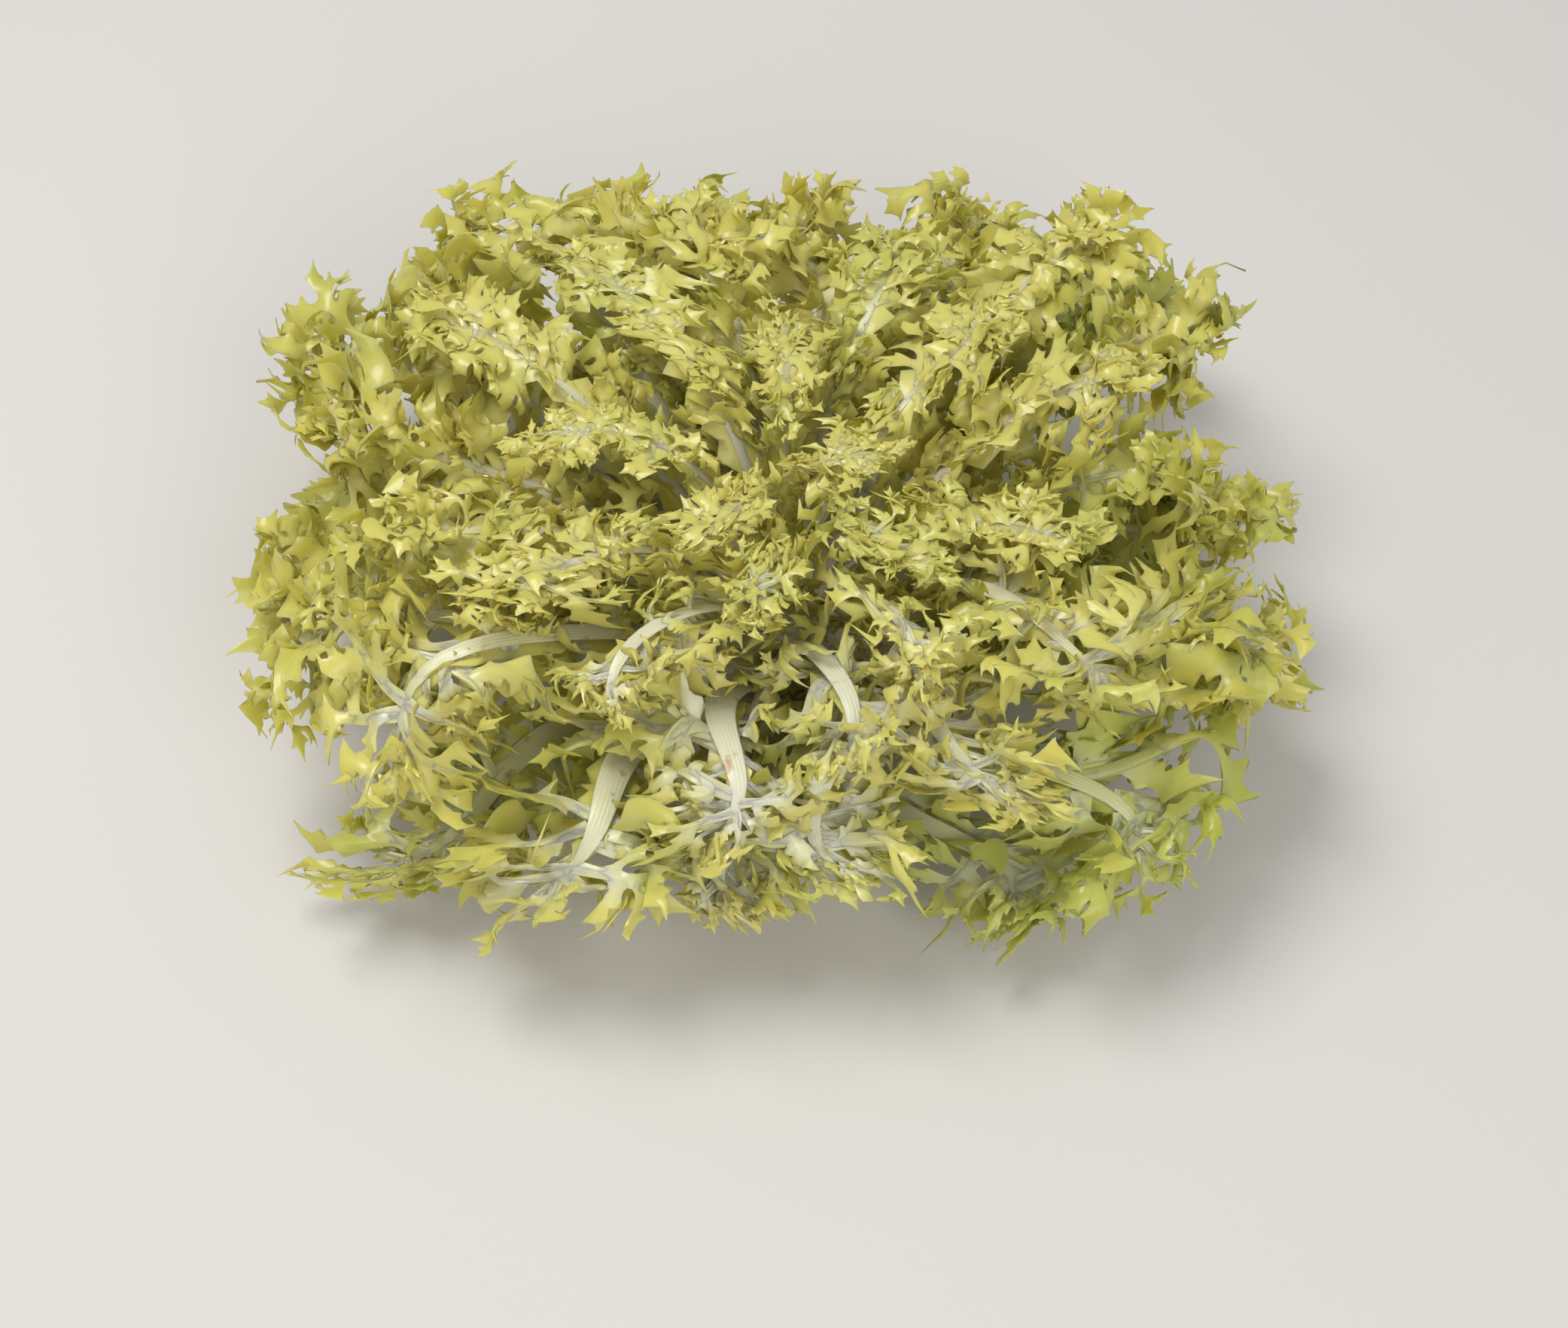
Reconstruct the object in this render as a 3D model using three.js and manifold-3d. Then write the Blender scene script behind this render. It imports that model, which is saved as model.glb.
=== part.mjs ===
// Curly endive head (fine frisee): a short stem with a flat cut end, a spiral of deeply cut leaves round it, and a
// heart of young leaves on a bud at its top. Millimetres, +Z up, standing on the cut end, front towards -Y.
// The leaves lie on shells of the dome, one above the other, so that none crosses another.
import * as THREE from "three";
import Module from "manifold-3d";
import { mergeVertices } from "three/addons/utils/BufferGeometryUtils.js";

const wasm = await Module();
wasm.setup();

// The head
const HEAD_WIDTH = 280;
const HEAD_DEPTH = 230;
const HEAD_HEIGHT = 105;
const FRONT_SQUARENESS = 3.4;
const BACK_SQUARENESS = 5.2;
const LEAF_COUNT = 48;
const HEART_LEAVES = 8;
const FREE_LEAVES = LEAF_COUNT - HEART_LEAVES;
const GOLDEN_ANGLE = Math.PI * (3 - Math.sqrt(5));
const SPIRAL_START = 0.4;
const GROUND_CLEARANCE = 1.3;
const NODE_GAP = 0.35;
const SEAT_GAP = 0.7;

// The stem and the bud that carries the heart
const STEM_CENTRE = { x: 4, y: -18 };
const STEM_HEIGHT = 35;
const STEM_CUT_RADIUS = 14;
const STEM_WIDEST_RADIUS = 17.5;
const STEM_TOP_RADIUS = 5;
const BUD_RADIUS = 4;
const BUD_TIP_RADIUS = 1.2;
const BUD_TOP = 58;
const LOWEST_SEAT = 6;
const HIGHEST_SEAT = 31;
const LOWEST_HEART_SEAT = 38;
const HIGHEST_HEART_SEAT = 47;
const HEART_ROOT_RADIUS = 1.5;

// The leaves. Thicknesses and widths are millimetres, RIB_END is a share of the leaf's length.
const RIB_BASE_WIDTH = 12;
const RIB_TIP_WIDTH = 2.4;
const RIB_BASE_THICKNESS = 4.2;
const RIB_EDGE_THICKNESS = 1.4;
const RIB_END = 0.88;
const BLADE_THICKNESS = 1.0;
const TIP_THICKNESS = 0.8;
const PETIOLE_ROWS = 3;
const LONGEST_LOBE = 34;
const END_LOBE_HALF_WIDTH = 19;
const SOFTENING_RADIUS = 10;

// How far a lobe curls up or down, in shares of the way from the ground to the heart, near the stem and far from it
const CURL_NEAR_STEM = 0.034;
const CURL_FAR = 0.091;
const NEAR_STEM = 30;
const FAR_FROM_STEM = 100;

// Where one kind of leaf gives way to the next, going in along the spiral, and its lobes on each side
const KINDS = [
  { name: "outer_leaf", from: 0, lobes: 6, colour: 0xb4c45c },
  { name: "middle_leaf", from: 13, lobes: 5, colour: 0xcfd069 },
  { name: "inner_leaf", from: 26, lobes: 4, colour: 0xdcd673 },
];
const HEART_LOBES = 3;
const HEART_COLOUR = 0xe6de8c;
const STEM_COLOUR = 0xe9e6d0;

const lerp = (a, b, t) => a + (b - a) * t;
const radians = (degrees) => (degrees * Math.PI) / 180;
const clamp = (x, low, high) => Math.min(Math.max(x, low), high);

// A repeatable draw between 0 and 1 for each leaf and use
function draw(leaf, use) {
  const x = Math.sin(leaf * 12.9898 + use * 78.233) * 43758.5453;
  return x - Math.floor(x);
}

// The largest value between low and high for which test holds
function lastThatHolds(test, low, high) {
  for (let i = 0; i < 24; i++) {
    const middle = (low + high) / 2;
    if (test(middle)) low = middle;
    else high = middle;
  }
  return low;
}

// Distance from the stem's axis to the rounded-rectangle outline of the head, seen from above
function footprintReach(azimuth) {
  const inside = (distance) => {
    const x = Math.abs(STEM_CENTRE.x + distance * Math.cos(azimuth)) / (HEAD_WIDTH / 2);
    const y = (STEM_CENTRE.y + distance * Math.sin(azimuth)) / (HEAD_DEPTH / 2);
    const squareness = y > 0 ? BACK_SQUARENESS : FRONT_SQUARENESS;
    return x ** squareness + Math.abs(y) ** squareness < 1;
  };
  return lastThatHolds(inside, 0, HEAD_WIDTH);
}

// The stem's outline: distance from its axis at a height
const STEM_PROFILE = [
  [STEM_CUT_RADIUS, 0],
  [STEM_WIDEST_RADIUS - 1, 2.5],
  [STEM_WIDEST_RADIUS, 7],
  [STEM_WIDEST_RADIUS - 2, 13],
  [STEM_TOP_RADIUS + 5, 22],
  [STEM_TOP_RADIUS + 1.5, 30],
  [STEM_TOP_RADIUS, STEM_HEIGHT],
];
function stemRadius(height) {
  for (let i = 1; i < STEM_PROFILE.length; i++) {
    const [lowRadius, low] = STEM_PROFILE[i - 1];
    const [highRadius, high] = STEM_PROFILE[i];
    if (height <= high) return lerp(lowRadius, highRadius, (height - low) / (high - low));
  }
  return STEM_TOP_RADIUS;
}

// A point of a shell, as distance from the stem's axis and height. shell runs from 0, along the ground, to 1,
// upright in the heart. along runs from 0 at the leaf's base to 1 at the dome's surface, where the leaf droops.
function shellPoint(base, anyShell, azimuth, along) {
  const shell = clamp(anyShell, 0, 1);
  const rise = Math.asin(lerp(0.03, 0.99, shell));
  const tip = [footprintReach(azimuth) * Math.cos(rise) ** 0.8, HEAD_HEIGHT * Math.sin(rise) ** 0.9];
  const start = radians(lerp(8, 85, shell ** 0.8));
  const droop = radians(lerp(-14, -84, Math.min(1, shell * 4)) + 66 * shell ** 1.5);
  const chord = 0.45 * Math.hypot(tip[0] - base[0], tip[1] - base[1]);
  const first = [base[0] + chord * Math.cos(start), base[1] + chord * Math.sin(start)];
  const second = [tip[0] - chord * Math.cos(droop), tip[1] - chord * Math.sin(droop)];
  const back = 1 - along;
  const weights = [back ** 3, 3 * back ** 2 * along, 3 * back * along ** 2, along ** 3];
  const mix = (k) => weights[0] * base[k] + weights[1] * first[k] + weights[2] * second[k] + weights[3] * tip[k];
  return [mix(0), mix(1)];
}

function shellLength(base, shell, azimuth) {
  const steps = 16;
  let length = 0;
  let last = base;
  for (let i = 1; i <= steps; i++) {
    const next = shellPoint(base, shell, azimuth, i / steps);
    length += Math.hypot(next[0] - last[0], next[1] - last[1]);
    last = next;
  }
  return length;
}

// What sets one leaf apart: its place in the spiral, its seat, its reach, its sideways swing and how long its
// petiole is bare, which is more at the front
function leafAt(index) {
  const shell = index / (LEAF_COUNT - 1);
  const azimuth = SPIRAL_START + index * GOLDEN_ANGLE + radians(lerp(-3, 3, draw(index, 1)));
  const facesFront = Math.max(0, -Math.sin(azimuth)) ** 3;
  const inHeart = index >= FREE_LEAVES;
  const seat = inHeart
    ? lerp(LOWEST_HEART_SEAT, HIGHEST_HEART_SEAT, (index - FREE_LEAVES) / HEART_LEAVES)
    : lerp(LOWEST_SEAT, HIGHEST_SEAT, index / FREE_LEAVES);
  const base = [inHeart ? HEART_ROOT_RADIUS : stemRadius(seat) - 1.5, seat];
  return {
    index,
    shell,
    azimuth,
    inHeart,
    base,
    length: shellLength(base, shell, azimuth),
    reach: lerp(0.93, 1, draw(index, 2)),
    swing: radians(lerp(-5, 5, draw(index, 3))),
    firstLobe: lerp(0.25, 0.46, facesFront),
    longestLobe: LONGEST_LOBE * lerp(1, 0.66, shell) * lerp(0.92, 1.05, draw(index, 4)),
  };
}

// The middle of the leaf's sheet: along runs to 1 at the leaf's tip, across is millimetres from the midrib, and
// curl, from -1 to 1, moves the point off its shell towards the next ones.
function sheetPoint(leaf, along, across, curl) {
  const swung = leaf.azimuth + leaf.swing * Math.sin(Math.PI * clamp(along, 0, 1)) ** 2;
  const onShell = along * leaf.reach;
  const [distance] = shellPoint(leaf.base, leaf.shell, swung, onShell);
  const far = clamp((distance - NEAR_STEM) / (FAR_FROM_STEM - NEAR_STEM), 0, 1);
  const shell = leaf.shell + curl * lerp(CURL_NEAR_STEM, CURL_FAR, far);
  const azimuth = swung + across / (distance + SOFTENING_RADIUS);
  const [radius, height] = shellPoint(leaf.base, shell, azimuth, onShell);
  return new THREE.Vector3(
    STEM_CENTRE.x + radius * Math.cos(azimuth),
    STEM_CENTRE.y + radius * Math.sin(azimuth),
    Math.max(height, GROUND_CLEARANCE),
  );
}

// The sheet's normal, towards the heart
function sheetNormal(leaf, along, across, curl) {
  const step = 0.02;
  const forward = sheetPoint(leaf, along + step, across, curl).sub(sheetPoint(leaf, along - step, across, curl));
  const sideways = sheetPoint(leaf, along, across + 1, curl).sub(sheetPoint(leaf, along, across - 1, curl));
  return forward.cross(sideways).normalize();
}

// Half the midrib's width at a place along the leaf
function ribHalfWidth(leaf, along) {
  const base = RIB_BASE_WIDTH * lerp(1, 0.5, leaf.shell);
  return lerp(base, RIB_TIP_WIDTH, clamp(along / RIB_END, 0, 1) ** 0.7) / 2;
}

// A lobe with three points: each as a share of its length outwards and of the lobes' spacing towards the leaf's tip
const LOBE_SHAPE = {
  backTooth: [0.6, -0.44],
  backNotch: [0.5, -0.12],
  tip: [1, 0.1],
  frontNotch: [0.56, 0.16],
  frontTooth: [0.74, 0.46],
};

// The leaf's flat pattern: points on the sheet with their half thickness, and the triangles between them
function leafPattern(leaf, lobes) {
  const points = [];
  const faces = [];
  const put = (along, across, curl, thickness) => points.push({ along, across, curl, half: thickness / 2 }) - 1;

  // The bare petiole: rows of three points, thick in the middle
  const rows = [];
  const thickest = RIB_BASE_THICKNESS * lerp(1, 0.6, leaf.shell);
  for (let i = 0; i < PETIOLE_ROWS; i++) {
    const share = i / PETIOLE_ROWS;
    const along = leaf.firstLobe * share;
    const side = ribHalfWidth(leaf, along);
    rows.push([
      put(along, -side, 0, RIB_EDGE_THICKNESS),
      put(along, 0, 0, lerp(thickest, RIB_EDGE_THICKNESS, share)),
      put(along, side, 0, RIB_EDGE_THICKNESS),
    ]);
  }
  for (let i = 1; i < PETIOLE_ROWS; i++) {
    const [near, next] = [rows[i - 1], rows[i]];
    for (const k of [0, 1]) faces.push([near[k], next[k], next[k + 1]], [near[k], next[k + 1], near[k + 1]]);
  }

  // The lobed part: rows of two points, with a lobe on one side of each interval in turn
  const intervals = 2 * lobes;
  const spacing = (2 * (RIB_END - leaf.firstLobe)) / intervals;
  const edges = [];
  for (let i = 0; i <= intervals; i++) {
    const along = lerp(leaf.firstLobe, RIB_END, i / intervals);
    const side = ribHalfWidth(leaf, along);
    edges.push([put(along, -side, 0, BLADE_THICKNESS), put(along, side, 0, BLADE_THICKNESS)]);
  }
  const [left, middle, right] = rows[PETIOLE_ROWS - 1];
  const [firstLeft, firstRight] = edges[0];
  faces.push([left, firstLeft, middle], [middle, firstLeft, firstRight], [middle, firstRight, right]);
  for (let i = 0; i < intervals; i++) {
    faces.push([edges[i][0], edges[i + 1][0], edges[i + 1][1]], [edges[i][0], edges[i + 1][1], edges[i][1]]);
  }

  // A lobe's five free points and its triangles, from its two points on the rib
  const addLobe = (back, front, place, curls) => {
    const at = {};
    for (const [name, [outwards, onwards]] of Object.entries(LOBE_SHAPE)) {
      at[name] = put(...place(outwards, onwards), curls[name], TIP_THICKNESS);
    }
    faces.push([back, at.backTooth, at.backNotch]);
    faces.push([at.backNotch, at.tip, at.frontNotch]);
    faces.push([at.frontNotch, at.frontTooth, front]);
    faces.push([back, at.backNotch, at.frontNotch]);
    faces.push([back, at.frontNotch, front]);
  };
  for (let i = 0; i < intervals; i++) {
    const side = i % 2 ? 1 : -1;
    const column = i % 2;
    const share = (i + 0.5) / intervals;
    const fullness = 0.6 + 0.4 * Math.sin(Math.PI * share ** 1.2);
    const length = leaf.longestLobe * fullness * lerp(0.85, 1.1, draw(leaf.index, 10 + i));
    const sweep = radians(lerp(12, 42, share));
    const twist = lerp(-0.5, 0.5, draw(leaf.index, 50 + i));
    const lift = (i % 4 < 2 ? 1 : -1) * lerp(0.55, 1, draw(leaf.index, 90 + i));
    const curls = {
      backTooth: clamp(0.45 * lift + twist, -1, 1),
      backNotch: 0.3 * lift,
      tip: lift,
      frontNotch: 0.35 * lift,
      frontTooth: clamp(0.5 * lift - twist, -1, 1),
    };
    const root = points[edges[i][column]].along + spacing / 4;
    const place = (outwards, onwards) => [
      root + (length * outwards * Math.sin(sweep)) / leaf.length + onwards * spacing,
      side * (ribHalfWidth(leaf, root) + length * outwards * Math.cos(sweep)),
    ];
    const [low, high] = [edges[i][column], edges[i + 1][column]];
    if (side > 0) addLobe(high, low, (outwards, onwards) => place(outwards, -onwards), curls);
    else addLobe(low, high, place, curls);
  }

  // The end lobe goes straight on from the rib's end
  const lift = lerp(-0.8, 0.8, draw(leaf.index, 5));
  const curls = { backTooth: 0.8 * lift, backNotch: 0.3 * lift, tip: lift, frontNotch: 0.3 * lift, frontTooth: -0.5 * lift };
  const endLength = (1 - RIB_END) * 1.15;
  const [endLeft, endRight] = edges[intervals];
  const placeEnd = (outwards, onwards) => [RIB_END + endLength * outwards, onwards * END_LOBE_HALF_WIDTH];
  addLobe(endLeft, endRight, placeEnd, curls);
  return { points, faces };
}

// Moves a vertex of the leaf's base along the leaf until it is just clear of the stem
function seatOnStem(vertex, forward) {
  const inStem = (step) => {
    const moved = vertex.clone().addScaledVector(forward, step);
    return Math.hypot(moved.x - STEM_CENTRE.x, moved.y - STEM_CENTRE.y) < stemRadius(moved.z) + SEAT_GAP;
  };
  vertex.addScaledVector(forward, lastThatHolds(inStem, -6, 12));
}

// The pattern's sheet as a closed surface: both faces alike, and a wall along each free edge
function thicken(leaf, { points, faces }) {
  const vertices = [];
  for (const { along, across, curl, half } of points) {
    const middle = sheetPoint(leaf, along, across, curl);
    const offset = sheetNormal(leaf, along, across, curl).multiplyScalar(half);
    const pair = [middle.clone().add(offset), middle.clone().sub(offset)];
    if (along === 0 && !leaf.inHeart) {
      const forward = sheetPoint(leaf, 0.05, across, curl).sub(middle).normalize();
      pair.forEach((vertex) => seatOnStem(vertex, forward));
    }
    vertices.push(...pair);
  }
  const triangles = [];
  const free = new Map();
  for (const face of faces) {
    const [a, b, c] = face.map((point) => 2 * point);
    triangles.push([a, b, c], [c + 1, b + 1, a + 1]);
    for (const [from, to] of [[a, b], [b, c], [c, a]]) {
      if (!free.delete(to + "," + from)) free.set(from + "," + to, [from, to]);
    }
  }
  for (const [from, to] of free.values()) {
    triangles.push([from, from + 1, to + 1], [from, to + 1, to]);
  }
  return {
    positions: new Float32Array(vertices.flatMap((vertex) => vertex.toArray())),
    indices: new Uint32Array(triangles.flat()),
  };
}

// A closed surface as a solid, whichever way its triangles turn
function solidOf({ positions, indices }) {
  const solid = new wasm.Manifold(new wasm.Mesh({ numProp: 3, vertProperties: positions, triVerts: indices }));
  if (solid.volume() > 0) return solid;
  const turned = indices.slice();
  for (let i = 0; i < turned.length; i += 3) {
    turned[i + 1] = indices[i + 2];
    turned[i + 2] = indices[i + 1];
  }
  return new wasm.Manifold(new wasm.Mesh({ numProp: 3, vertProperties: positions, triVerts: turned }));
}

function leafSolid(index, lobes) {
  const leaf = leafAt(index);
  return solidOf(thicken(leaf, leafPattern(leaf, lobes)));
}

// A solid of revolution round the stem's axis, from its outline
function turnedSolid(outline, sides) {
  const closed = [[0, outline[0][1]], ...outline, [0, outline[outline.length - 1][1]]];
  const lathe = new THREE.LatheGeometry(closed.map(([radius, height]) => new THREE.Vector2(radius, height)), sides);
  lathe.rotateX(Math.PI / 2);
  lathe.translate(STEM_CENTRE.x, STEM_CENTRE.y, 0);
  lathe.deleteAttribute("normal");
  lathe.deleteAttribute("uv");
  const merged = mergeVertices(lathe, 1e-4);
  return solidOf({ positions: merged.attributes.position.array, indices: new Uint32Array(merged.index.array) });
}

// The bud with the youngest leaves grown from it, as one body
function heartSolid() {
  const bud = [
    [BUD_RADIUS, STEM_HEIGHT + NODE_GAP],
    [BUD_RADIUS, (STEM_HEIGHT + BUD_TOP) / 2],
    [BUD_TIP_RADIUS, BUD_TOP],
  ];
  let heart = turnedSolid(bud, 10);
  for (let i = FREE_LEAVES; i < LEAF_COUNT; i++) heart = heart.add(leafSolid(i, HEART_LOBES));
  return heart;
}

function meshOf(name, solid, colour, roughness) {
  const { vertProperties, triVerts } = solid.getMesh();
  const geometry = new THREE.BufferGeometry();
  geometry.setAttribute("position", new THREE.BufferAttribute(vertProperties, 3));
  geometry.setIndex(new THREE.BufferAttribute(triVerts, 1));
  geometry.computeVertexNormals();
  const material = new THREE.MeshStandardMaterial({ color: colour, roughness, metalness: 0 });
  const mesh = new THREE.Mesh(geometry, material);
  mesh.name = name;
  return mesh;
}

const head = new THREE.Group();
head.add(meshOf("stem", turnedSolid(STEM_PROFILE, 20), STEM_COLOUR, 0.55));
for (let i = 0; i < FREE_LEAVES; i++) {
  const kind = KINDS.findLast((each) => i >= each.from);
  const number = String(i - kind.from + 1).padStart(2, "0");
  head.add(meshOf(kind.name + "_" + number, leafSolid(i, kind.lobes), kind.colour, 0.5));
}
head.add(meshOf("heart", heartSolid(), HEART_COLOUR, 0.5));

// The frame's origin is under the middle of the whole head, at the height of the stem's cut end
const middle = new THREE.Box3().setFromObject(head).getCenter(new THREE.Vector3());
head.position.set(-middle.x, -middle.y, 0);

export default head;
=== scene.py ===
"""A head of fine curly endive: frilled leaves round a short trimmed stem, on a pale studio floor.

The leaves follow the shells of the dome, as the solids that they replace do: a fleshy midrib on each shell,
with curled lobes on both its sides. Sizes are in millimetres until a mesh is made.
"""

import math
from functools import partial
from types import SimpleNamespace

import bmesh
import bpy
import numpy as np
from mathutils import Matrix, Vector


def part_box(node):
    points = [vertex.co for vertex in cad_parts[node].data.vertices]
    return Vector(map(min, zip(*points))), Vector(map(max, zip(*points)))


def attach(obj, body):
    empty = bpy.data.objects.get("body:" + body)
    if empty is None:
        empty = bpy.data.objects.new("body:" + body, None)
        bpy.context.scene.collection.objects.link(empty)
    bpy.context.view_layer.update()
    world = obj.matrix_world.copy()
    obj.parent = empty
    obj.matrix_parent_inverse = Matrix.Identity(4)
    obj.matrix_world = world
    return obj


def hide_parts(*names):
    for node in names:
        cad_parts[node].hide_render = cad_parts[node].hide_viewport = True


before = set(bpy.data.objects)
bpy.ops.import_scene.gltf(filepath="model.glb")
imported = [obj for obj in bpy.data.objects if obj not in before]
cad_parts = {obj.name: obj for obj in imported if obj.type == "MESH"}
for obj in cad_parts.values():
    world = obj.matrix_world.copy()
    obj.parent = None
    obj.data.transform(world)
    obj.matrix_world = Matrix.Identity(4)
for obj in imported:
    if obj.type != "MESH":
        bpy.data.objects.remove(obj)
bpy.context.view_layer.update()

MM = 0.001

# The head
HEAD_WIDTH = 280
HEAD_DEPTH = 230
HEAD_HEIGHT = 105
FRONT_SQUARENESS = 3.4
BACK_SQUARENESS = 5.2
STEM_OFFSET = (4, -18)
LEAF_COUNT = 48
HEART_LEAVES = 8
FREE_LEAVES = LEAF_COUNT - HEART_LEAVES
GOLDEN_ANGLE = math.pi * (3 - math.sqrt(5))
SPIRAL_START = 0.4
# Heights that a free leaf would reach, and those at which the ground and the film hold it
FREE_HEIGHTS = (-40, -10, 0, 22, 94, 130)
HELD_HEIGHTS = (0.6, 2.6, 5, 22, 94, 108)

# The stem and the leaves' seats on it
STEM_HEIGHT = 35
STEM_CUT_RADIUS = 14
STEM_WIDEST_RADIUS = 17.5
STEM_TOP_RADIUS = 5
STEM_OUTLINE = [
    (STEM_CUT_RADIUS, 0),
    (STEM_WIDEST_RADIUS - 1, 2.5),
    (STEM_WIDEST_RADIUS, 7),
    (STEM_WIDEST_RADIUS - 2, 13),
    (STEM_TOP_RADIUS + 5, 22),
    (STEM_TOP_RADIUS + 1.5, 30),
    (STEM_TOP_RADIUS, STEM_HEIGHT),
]
CUT_FACE = [(0.8, 0.6), (5, 0.55), (9, 0.35), (12, 0.1), (13.4, 0), (14, 0.5)]
STEM_RING_SPACING = 0.7
SCAR_HEIGHT = 0.35
SCARS_PER_MM = 2.2
BUD_FOOT = STEM_HEIGHT - 1.5
BUD_RADIUS = 4
BUD_TOP = 58
BUD_TIP_RADIUS = 0.3
SEAT_DEPTH = 1.5
LOWEST_SEAT = 6
HIGHEST_SEAT = 31
LOWEST_HEART_SEAT = 38
HIGHEST_HEART_SEAT = 47
HEART_ROOT_RADIUS = 1.5

# The shells: a leaf's curve leaves its seat at a start angle and reaches its tip at a droop angle, in degrees
LOWEST_TIP = 0.03
HIGHEST_TIP = 0.99
TIP_REACH_POWER = 0.8
TIP_HEIGHT_POWER = 0.9
START_ANGLES = (8, 85)
DROOP_ANGLES = (-14, -84)
DROOP_SOON = 4
DROOP_LESS_ABOVE = 66
CHORD_SHARE = 0.45
CURVE_POINTS = 17
SOFTENING_RADIUS = 10

# A leaf's place: how far it stands off the spiral, stops short of its shell's end, swings and bows
AZIMUTH_JITTER = 3
SHORTEST_REACH = 0.93
MOST_SWING = 5
BOW_ANGLES = (8, 16)
BACK_BOW = 0.3
# The front leaves stand open on bare midribs. front is the solids' share of that, and bare reaches further up
FRONT_POWER = 1.6
FRONT_TOP = 0.5
FRONT_FADE = 2.2
BARE_TOP = 0.64
BARE_FADE = 2.6
BARE_FRONT = 0.4
CORNER_TOP = 0.7
GROUND_TOP = 0.25

# The midrib
RIB_BASE_WIDTH = 12
RIB_TIP_WIDTH = 1.6
RIB_BASE_THICKNESS = 4.2
RIB_TIP_THICKNESS = 0.8
RIB_END = 0.88
RIB_PAST_END = 0.02
RIB_FLATNESS = 0.45
BARE_RIB_LIFT = 5
RIB_RINGS = 20
RIB_SIDES = 10

# Lobes: ranges of their sizes, as shares, and of their angles in degrees. Rise is how steeply one leaves the
# sheet, and curl is how far it rolls up on its way, or down below 0
LONGEST_LOBE = 34
HEART_LOBE = 0.66
LOBE_VARIETY = (0.92, 1.05)
FIRST_LOBES = (0.25, 0.36)
LEAF_FILL = (0.72, 1.15)
FULL_LENGTH = 135
CORNER_FILL = 1.2
FRONT_CORNER_FILL = 1.1
VARIETY = (0.85, 1.15)
LEAST_FULL = 0.6
SWEEPS = (12, 42)
SWEEP_JITTER = (-20, 20)
BARE_SWEEP = 12
BARE_SIDE_LENGTH = 0.78
BARE_EXTRA = 1.1
BARE_UNTIL = 0.6
BARE_GAPS = 0.55
SECOND_LENGTHS = (0.5, 0.85)
UPRIGHT_SHARES = (0.7, 0.3)
BARE_LOBE = SimpleNamespace(rise=(-40, 15), curl=(-60, 60))
LYING_LOBE = SimpleNamespace(rise=(-25, 25), curl=(-70, 90))
UPRIGHT_LOBE = SimpleNamespace(rise=(15, 75), curl=(-60, 120))
HANGING_LOBE = SimpleNamespace(rise=(-45, 15), curl=(-110, 30))
CREST_LOBE = SimpleNamespace(rise=(30, 80), curl=(-120, 20), length=(0.45, 0.7))
TIP_LOBE = SimpleNamespace(rise=(-30, 50), curl=(-110, 110), length=(0.85, 1.05))
LOW_UNDER_LOBE = SimpleNamespace(rise=(-40, 0), curl=(-60, 60))
HIGH_UNDER_LOBE = SimpleNamespace(rise=(10, 35), curl=(-90, -30))
UNDER_LENGTHS = (0.8, 1.2)
UNDER_HEADINGS = (40, 120)
UNDER_ROOTS = (0.2, 0.8)
DEEPEST_UNDER_ROOTS = (0.2, 0.38)
FRONT_UNDER_LOBES = 16
BACK_UNDER_LOBES = 8
CREST_HEADINGS = (-150, 150)
CREST_START = 0.12
TOP_CREST = 1.4
TIP_HEADINGS = (-86, -56, -28, 0, 28, 56, 86)
TIP_JITTER = (-8, 8)
TIP_WIDTHS = (0.55, 0.95)
TIP_STEP = 0.025
CORNER_TIP = 0.04
BARE_TIP = 0.8
FRONT_CORNER_CALM = 0.5

# The bends of a lobe on its way, in degrees, and its frill across
SPINE_STEPS = 20
YAWS = (-70, 70)
TWISTS = (-130, 130)
WANDERS = (20, 60)
WANDER_WAVES = 7
RUFFLE = 0.12
RUFFLE_WAVES = 12
RUFFLE_FULL_AT = 0.3
BOWS = (1.2, 4)

# How the frills are held in the head: free sizes, and the sizes that they are pressed to
FREE_FRILL = (-40, -16, 16, 40)
HELD_FRILL = (-28, -16, 16, 28)
FREE_TIP = (-30, 0, 8, 30)
HELD_TIP = (-12, 0, 8, 16)
NEAR_SEAT = 0.1
FAR_FROM_SEAT = 0.5
HEIGHT_NEAR_SEAT = 0.3
TALLEST_FRILL = 18
PAST_THE_TIP = 5
SHORT_OF_THE_TIP = -4
CORNER_EXTRA = 12
LOWEST_ROOT = 0.15
MOST_STRETCH = 1.08
BACK_CORNER_STRETCH = 1.2
FILM_CLEARANCE = 3
FITTING_ROUNDS = 5
FITTING_RISE = 10
FITTING_CURL = 12

# The blade, its wing along the midrib and its veins
BLADE_THICKNESS = 1
FLESHY_THICKNESS = 1.8
THIN_SHARE = 0.5
WELD_DISTANCE = 0.000002
WING_RINGS = 22
WING_ENDS = (0.1, 0.94)
WING_WIDTHS = (6, 2)
WING_TEETH = 0.4
WING_WAVE = 2.6
VEINS_SHOW_FROM = 0.15
VEINED_FROM = 0.55
VEIN_END = 0.75
VEIN_HALF_WIDTH = 0.062
VEIN_TIP = 0.15
STOUT_TIP = 0.2
VEIN_FLATNESS = 0.75
BARE_VEIN = 1.5

KINDS = [
    SimpleNamespace(name="outer_leaf", start=0, lobes=6, extra=2, crest=1, slot="outer_leaf"),
    SimpleNamespace(name="middle_leaf", start=13, lobes=5, extra=3, crest=7, slot="middle_leaf"),
    SimpleNamespace(name="inner_leaf", start=26, lobes=4, extra=3, crest=8, slot="inner_leaf"),
    SimpleNamespace(name="heart", start=FREE_LEAVES, lobes=3, extra=3, crest=10, slot="heart_leaf"),
]


def lerp(a, b, t):
    return a + (b - a) * t


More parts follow.
